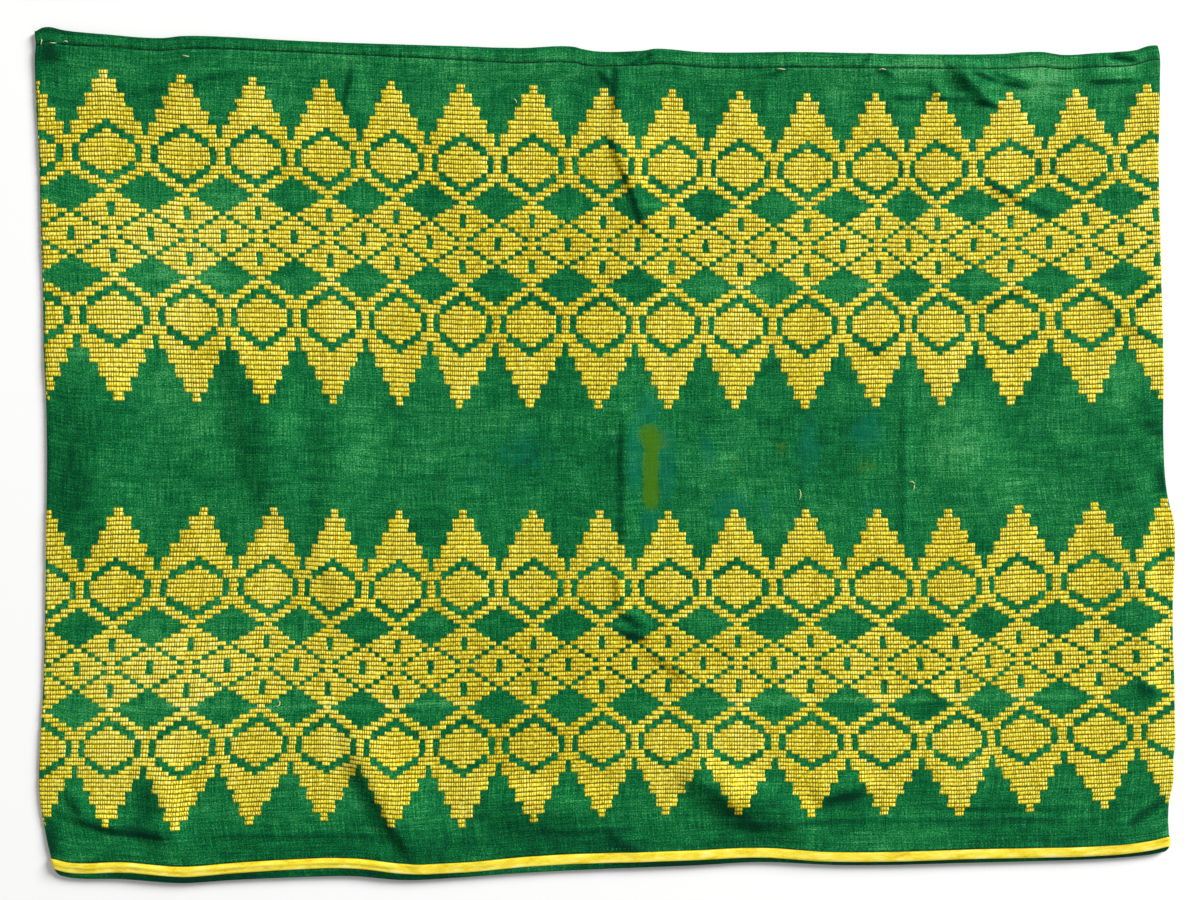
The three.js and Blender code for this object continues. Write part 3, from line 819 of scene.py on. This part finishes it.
# The cloth
def seam_line_and_ribbon_shadow(x, down):
    """The dark line of a row of stitches, and the painted shadow along the ribbon's upper side, on the
    cloth.
    """
    stitches = hump(down - top_stitches_at(x), 1.9)
    ribbon_shadow = hump(down - RIBBON_TOP - ribbon_drift_at(x), 2.6)
    return np.minimum(0.9 * stitches + 0.9 * ribbon_shadow, 1)


def painted_rim_shade(x, down):
    """The hems' folded edges get painted shade, most of all below the ribbon and toward the corners."""
    low = down > RIBBON_FOOT - 1 + ribbon_drift_at(x)
    return -0.5 * hump(down, 3) - (0.8 + 0.5 * np.sin(x / 37.0) - 0.6 * hump(x + 95, 200)) * low


def cloth_piece(material):
    """The tube in one surface: hem turned in at the top, outer face all round, hem turned in at the foot."""
    turn = np.pi * np.arange(1, 4) / 4
    from_edge = HEM_RADIUS * (1 - np.sin(turn))
    sink = HEM_RADIUS * (1 - np.cos(turn))
    inside = 2 * HEM_RADIUS
    inner_top = [(TOP_HEM, inside), (TOP_HEM / 2, inside), (HEM_RADIUS, inside)]
    top_turn = list(zip(from_edge[::-1], sink[::-1]))
    lower_turn = list(zip(CLOTH_HEIGHT - from_edge, sink))
    low = CLOTH_HEIGHT - LOWER_HEM
    inner_low = [(CLOTH_HEIGHT - HEM_RADIUS, inside), (low + LOWER_HEM / 2, inside), (low, inside)]
    before = inner_top + top_turn
    after = lower_turn + inner_low
    loops = [tube.loop(*ring) for ring in before]
    loops += list(tube.places)
    loops += [tube.loop(*ring) for ring in after]
    points = np.array(loops)
    rows, columns = points.shape[:2]
    down = np.array([-(ring[1] + ring[0]) for ring in before] + list(tube.downs)
                    + [CLOTH_HEIGHT + ring[1] + CLOTH_HEIGHT - ring[0] for ring in after])
    around, down = np.meshgrid(tube.round, down)
    flat = points.reshape(-1, 3)
    x, y = flat[:, 0], flat[:, 1]
    is_front = (around.ravel() <= FRONT_WIDTH) * 1.0
    quads = grid_quads(rows, columns, True)
    along, across = around.ravel()[quads], down.ravel()[quads]
    across_share = (down.max() - across) / np.ptp(down)
    wraps = (np.ptp(along, axis=1, keepdims=True) > FRONT_WIDTH) & (along < FRONT_WIDTH)
    along = along + TUBE_ROUND * wraps
    maps = {
        "weave": np.stack([along.ravel(), across.ravel()], 1),
        BAKE_MAP: stacked_strips(along, across_share, TUBE_ROUND, 2, 4),
    }
    # The tone mark holds painted shade and light, fading, weft streaks and the hems' painted shade; the seam
    # mark holds the stitch lines and the ribbon's painted shadow
    marks = {
        "tone": painted_shade_and_tone_at(x, y) * np.where(is_front, 1, BACK_CLOTH_SHADE_SHARE) + painted_rim_shade(x, down.ravel()),
        "teal": patches_at(TEAL, x, y) * is_front,
        "olive": patches_at(OLIVE, x, y) * is_front,
        "seam": seam_line_and_ribbon_shadow(x, down.ravel()),
    }
    cloth = new_piece("woven_cloth", flat, quads, material, maps, marks)
    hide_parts("malong_cloth")
    return cloth


# The pattern wefts
def band_paths(band):
    """Distance round the tube of every motif's middle warp, and its height up the cloth, at a chart row."""
    warp_x = through_three(WARPS_AT, band["head_x"], band["middle_x"], band["foot_x"])
    weft_y = through_three(TIPS_AT, band["head_y"], band["middle_y"], band["foot_y"])
    hidden = ALL_MOTIFS - FRONT_MOTIFS
    share = np.arange(1, hidden + 1) / (hidden + 1)

    def at(level):
        x, y = warp_x(level), weft_y(level) - band["sag"] * hump(level - SAG_AT, SAG_ROWS)
        around = tube.around_at(x, y)
        home = around[0] + TUBE_ROUND
        back = around[-1] + (home - around[-1]) * share
        back_y = y[-1] + (y[0] - y[-1]) * share + 2.5 * np.sin(share * 9)
        return np.concatenate([around, back, [home]]), np.concatenate([y, back_y, y[:1]])

    return at


def yellow_runs(row, slips):
    """First and last column of each run of yellow in a chart row, all round the tube."""
    columns = np.arange(ALL_MOTIFS * CHART_COLUMNS)
    from_middle = np.abs((columns + CHART_COLUMNS // 2) % CHART_COLUMNS - CHART_COLUMNS // 2)
    yellow = np.isin(from_middle, [int(digit) for digit in CHART[row]])
    for motif, slip_row, slip_column in slips:
        if slip_row == row:
            yellow[(motif + 1) * CHART_COLUMNS + slip_column - CHART_COLUMNS // 2] = True
    first_gap = int(np.argmin(yellow))
    turned = np.roll(yellow, -first_gap).astype(int)
    steps = np.diff(np.concatenate([turned, [0]]))
    starts = np.flatnonzero(steps == 1) + 1 + first_gap
    ends = np.flatnonzero(steps == -1) + first_gap
    return list(zip(starts, ends))


FLOAT_PROFILE = table(("across", "rise"), [(0.0, 0.1), (0.2, 0.75), (0.5, 1.0), (0.8, 0.75), (1.0, 0.1)])
FLOAT_TIP = 0.09
FLOAT_REACH = 0.56


def float_points(row, run, knots, draw, step):
    """One float: a low domed bar along a chart row, dipping into the cloth at both ends."""
    columns = np.arange(ALL_MOTIFS + 1) * CHART_COLUMNS
    period = ALL_MOTIFS * CHART_COLUMNS
    around_knots, top_knots, foot_knots = knots
    begin = run[0] - FLOAT_REACH + draw.normal(0, 0.07)
    end = run[1] + FLOAT_REACH + draw.normal(0, 0.07)
    count = max(int(round((end - begin) / step)), 1)
    inner = np.linspace(begin, end, count + 1)[1:-1] + draw.uniform(-0.08, 0.08, count - 1)
    turning = np.interp(tube.on_folds, around_knots, columns)
    turning = turning[(turning > begin + 2 * FLOAT_TIP) & (turning < end - 2 * FLOAT_TIP)]
    inner = np.sort(np.concatenate([inner, turning]))
    column = np.concatenate([[begin, begin + FLOAT_TIP], inner, [end - FLOAT_TIP, end]])
    wrapped = np.mod(column, period)
    around = np.interp(wrapped, columns, around_knots)
    top = tube.down_round(around, np.interp(wrapped, columns, top_knots))
    foot = tube.down_round(around, np.interp(wrapped, columns, foot_knots))
    rise = FLOAT_RISE * draw.uniform(0.7, 1.0, len(column))
    rise[[0, -1]] = 0.02
    sway = draw.normal(0, 0.1, len(column)) + draw.normal(0, 0.08)
    across = FLOAT_PROFILE["across"]
    down = top[:, None] + (foot - top)[:, None] * across + sway[:, None]
    around = np.broadcast_to(around[:, None], down.shape)
    places = tube.at(around, down, rise[:, None] * FLOAT_PROFILE["rise"])
    weave_u = np.broadcast_to(column[:, None] * TUBE_ROUND / period, down.shape)
    weave_v = np.broadcast_to(row + across, down.shape)
    return places.reshape(-1, 3), np.stack([weave_u.ravel(), weave_v.ravel()], 1)


def band_piece(name, band, slips, material, front, seed):
    """All the floats of one band that lie on one layer, joined in one mesh."""
    at = band_paths(band)
    draw = np.random.default_rng(seed)
    across = len(FLOAT_PROFILE["across"])
    grids, bakes = [], []
    period = ALL_MOTIFS * CHART_COLUMNS
    last_front = (FRONT_MOTIFS - 1) * CHART_COLUMNS + COLUMNS_TO_FOLD
    first = FRONT_BAKED_FROM if front else BACK_BAKED_FROM
    for row in range(len(CHART)):
        knots = at(row + 0.5)[0], at(row)[1], at(row + 1)[1]
        for run in yellow_runs(row, slips):
            middle = (run[0] + run[1]) / 2 % period
            if (middle <= last_front or middle >= period - COLUMNS_TO_FOLD) != front:
                continue
            places, uv = float_points(row, run, knots, draw, 0.5 if front else 1.0)
            quads = grid_quads(len(places) // across, across, False)[:, [0, 3, 2, 1]]
            grids.append((places, uv, quads))
            middle_round = uv[:, 0].mean()
            along = np.mod(middle_round - first, TUBE_ROUND) + uv[:, 0] - middle_round
            bakes.append(stacked_strips(along, 1 - uv[:, 1] / len(CHART), BAKED_ROUND, 2, 40))
    points, uvs, quads = joined(grids)
    maps = {"weave": uvs, BAKE_MAP: np.concatenate(bakes)}
    # The tone mark holds painted shade and light, fading and weft streaks
    marks = {"tone": painted_shade_and_tone_at(points[:, 0], points[:, 1]) * (1 if front else BACK_FLOATS_SHADE_SHARE)}
    return new_piece(name, points, quads, material, maps, marks)


# The ribbon
def ribbon_piece(material):
    """Satin ribbon all round the lower hem, a thin shell just off the cloth, sewn down along both edges."""
    across = table(("share", "rise"), [
        (0.0, 0.08), (0.03, 0.6), (0.12, 0.86), (0.3, 0.98), (0.45, 0.84), (0.62, 1.0), (0.88, 0.9),
        (0.97, 0.6), (1.0, 0.08),
    ])
    share, rounds = np.meshgrid(across["share"], tube.round, indexing="ij")
    rise, _ = np.meshgrid(across["rise"], tube.round, indexing="ij")
    wander = 0.35 * np.sin(rounds / 61.0) + 0.25 * np.sin(rounds / 23.0 + 1)
    drift = ribbon_drift_at(rounds - FRONT_WIDTH / 2) * (rounds < FRONT_WIDTH)
    down = RIBBON_TOP + share * RIBBON_WIDTH + wander * 0.4 + drift
    places = tube.at(rounds, down, rise).reshape(-1, 3)
    uvs = np.stack([rounds.ravel(), share.ravel()], 1)
    quads = grid_quads(len(across["share"]), len(tube.round), True)
    ribbon = new_piece("satin_ribbon", places, quads, material, {"weave": uvs}, {})
    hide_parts("hem_ribbon")
    return ribbon


# Stitches and loose threads
def top_stitches_round(around):
    """The top hem's line, by distance round the tube: the back's mirrors the front's."""
    along = np.mod(around, TUBE_ROUND)
    return top_stitches_at(np.minimum(along, TUBE_ROUND - along) - FRONT_WIDTH / 2)


def lower_stitches_round(around):
    return LOWER_STITCHES + 0 * around


def stitch_row(name, down_at_round, material, seed, length, gap, thick):
    """A row of stitches all round the tube, each a short rounded bar of thread sunk at its ends."""
    draw = np.random.default_rng(seed)
    sections = table(("along", "rise"), [(0.0, -0.6), (0.2, 0.7), (0.5, 1.0), (0.8, 0.7), (1.0, -0.6)])
    ring = table(("aside", "up"), [(-1.0, -0.4), (-0.6, 0.7), (0.0, 1.0), (0.6, 0.7), (1.0, -0.4)])
    grids = []
    count = int(TUBE_ROUND / (length + gap))
    for k in range(count):
        start = k * TUBE_ROUND / count + draw.normal(0, gap * 0.15)
        long = length * draw.uniform(0.9, 1.08)
        aside = draw.normal(0, thick * 0.25)
        around = start + sections["along"] * long
        rounds, rise = np.meshgrid(around, ring["up"], indexing="ij")
        offset = np.broadcast_to(ring["aside"] * thick / 2 + aside, rounds.shape)
        height = STITCH_LIFT + rise * thick / 2 + (sections["rise"][:, None] - 1) * thick / 2
        places = tube.at(rounds, down_at_round(rounds) + offset, height).reshape(-1, 3)
        uv = np.stack([rounds.ravel(), offset.ravel()], 1)
        grids.append((places, uv, grid_quads(len(around), len(ring["up"]), False)[:, [0, 3, 2, 1]]))
    points, uvs, quads = joined(grids)
    return new_piece(name, points, quads, material, {"weave": uvs}, {})


THREAD_COLUMNS = ("x", "y", "turn", "length", "bend", "pale")
LOOSE_THREADS = table(THREAD_COLUMNS, [
    (-563, 410, 80, 6, 0.6, 1), (-554, 412, 350, 7, 0.6, 1), (-541, 412, 5, 5, -0.4, 1),
    (303, -27, 345, 6, -0.6, 1), (308, -29, 262, 6, -0.5, 1), (193, -46, 85, 11, 0.5, 1),
    (-89, 351, 120, 6, 0.9, 1), (10, 203, 70, 16, 0.9, 0), (0, 192, 240, 14, -1.1, 0),
    (7, 168, 100, 12, 0.8, 0), (19, 145, 115, 18, -0.7, 0), (14, 120, 95, 12, 0.9, 0),
    (-330, -250, 40, 9, 1.4, 1), (420, 180, 150, 8, 1.2, 0), (250, -250, 60, 10, -1.0, 0),
    (-422, 400, 345, 7, 0.3, 1), (170, 386, 355, 9, 0.2, 1), (272, 384, 0, 7, -0.3, 1),
])


def thread_piece(material, pale, name):
    """Loose ends of thread lying on the front layer, each a thin bent rod."""
    steps, sides, radius = 9, 5, 0.34 + 0.14 * pale
    grids = []
    for one in rows_of(LOOSE_THREADS):
        if one["pale"] != pale:
            continue
        s = np.linspace(0, 1, steps)
        heading = np.radians(one["turn"]) + one["bend"] * (s - 0.5) * 2
        stride = one["length"] / (steps - 1)
        x = one["x"] + np.cumsum(np.cos(heading)) * stride
        y = one["y"] + np.cumsum(np.sin(heading)) * stride
        ring = 2 * np.pi * np.arange(sides) / sides
        rounds = tube.around_at(x, y)
        middle = tube.at(rounds, down_at(x, y), np.full(steps, FLOAT_RISE + radius + 0.1))
        middle[:, 2] += 1.1 * np.sin(s * np.pi) ** 2
        side = np.stack([-np.sin(heading), np.cos(heading), 0 * s], 1)
        taper = radius * (0.25 + 0.75 * np.sin(s * np.pi) ** 0.5)
        up = np.array([0, 0, 1.0])
        out = np.cos(ring)[None, :, None] * side[:, None] + np.sin(ring)[None, :, None] * up
        places = (middle[:, None] + out * taper[:, None, None]).reshape(-1, 3)
        along, turn = np.meshgrid(s * one["length"], ring, indexing="ij")
        uv = np.stack([along.ravel(), turn.ravel()], 1)
        grids.append((places, uv, grid_quads(steps, sides, True)[:, ::-1]))
    points, uvs, quads = joined(grids)
    return new_piece(name, points, quads, material, {"weave": uvs}, {})


# Floor, light and camera
# The photo is PHOTO_WIDTH millimetres wide at the cloth. Its middle and the floor's half are in metres.
PHOTO_WIDTH = 1200
PHOTO_MIDDLE = Vector((-0.005, 0.005, 0.004))
LENS, SENSOR = 50, 36
FLOOR_HALF = 6.0


def add_floor():
    paint = Paint("pale_floor")
    place = paint.node("ShaderNodeTexCoord", out=3)
    mottle = paint.noise(place, 3.0)
    colour = paint.mix(mottle, (0.93, 0.93, 0.925, 1), (0.95, 0.95, 0.945, 1))
    material = paint.finish(colour, 0.9, mottle, 0.0001, Specular_IOR_Level=0.1)
    mesh = bpy.data.meshes.new("floor")
    corners = [(x * FLOOR_HALF, y * FLOOR_HALF, 0) for x, y in ((-1, -1), (1, -1), (1, 1), (-1, 1))]
    mesh.from_pydata(corners, [], [(0, 1, 2, 3)])
    mesh.materials.append(material)
    floor = bpy.data.objects.new("floor", mesh)
    bpy.context.scene.collection.objects.link(floor)


def add_lamp(name, place, size, power):
    lamp = bpy.data.lights.new(name, "AREA")
    lamp.size = size
    lamp.energy = power
    lamp_object = bpy.data.objects.new(name, lamp)
    lamp_object.location = place
    lamp_object.rotation_mode = "QUATERNION"
    lamp_object.rotation_quaternion = (-Vector(place)).to_track_quat("-Z", "Y")
    bpy.context.scene.collection.objects.link(lamp_object)


def add_light():
    scene = bpy.context.scene
    scene.view_settings.view_transform = "Standard"
    world = bpy.data.worlds.new("soft_room")
    world.use_nodes = True
    sky = world.node_tree.nodes["Background"]
    sky.inputs["Color"].default_value = (1, 1, 1, 1)
    sky.inputs["Strength"].default_value = 0.37
    scene.world = world
    add_lamp("window", (9.8, 7.7, 6.4), 6.0, 3250)


def add_camera():
    camera = bpy.data.cameras.new("camera")
    camera.lens = LENS
    camera.sensor_width = SENSOR
    camera_object = bpy.data.objects.new("camera", camera)
    away = PHOTO_WIDTH * MM * LENS / SENSOR
    camera_object.location = PHOTO_MIDDLE + Vector((0, 0, away))
    bpy.context.scene.collection.objects.link(camera_object)
    bpy.context.scene.camera = camera_object


# Making it all
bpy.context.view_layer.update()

cloth = cloth_piece(green_weave())
floats_finish = yellow_floats()
for band_name, band_table, band_seed in (("upper_band", UPPER_BAND, 11), ("lower_band", LOWER_BAND, 21)):
    for layer, on_front in (("front", True), ("back", False)):
        name = f"{band_name}_{layer}"
        seed = band_seed + on_front
        band_piece(name, band_table, SLIPS[band_name], floats_finish, on_front, seed)
green_thread = sewing_thread("green_thread", (0, 40, 24), (30, 118, 62), showing=0.3)
pale_thread = sewing_thread("pale_thread", (196, 222, 110), (250, 252, 190), showing=0.9)
lime_thread = sewing_thread("lime_thread", (4, 86, 46), (96, 190, 110), showing=0.3)
bright_thread = sewing_thread("bright_thread", (60, 150, 60), (175, 215, 90), showing=0.8)
sewing = [
    stitch_row("top_hem_stitches", top_stitches_round, green_thread, 31, length=2.7, gap=1.0, thick=0.5),
    stitch_row("lower_hem_stitches", lower_stitches_round, lime_thread, 32, length=2.0, gap=2.2, thick=0.4),
    thread_piece(pale_thread, 1, "pale_loose_threads"),
    thread_piece(bright_thread, 0, "green_loose_threads"),
]
ribbon = ribbon_piece(yellow_satin())

add_floor()
add_light()
add_camera()
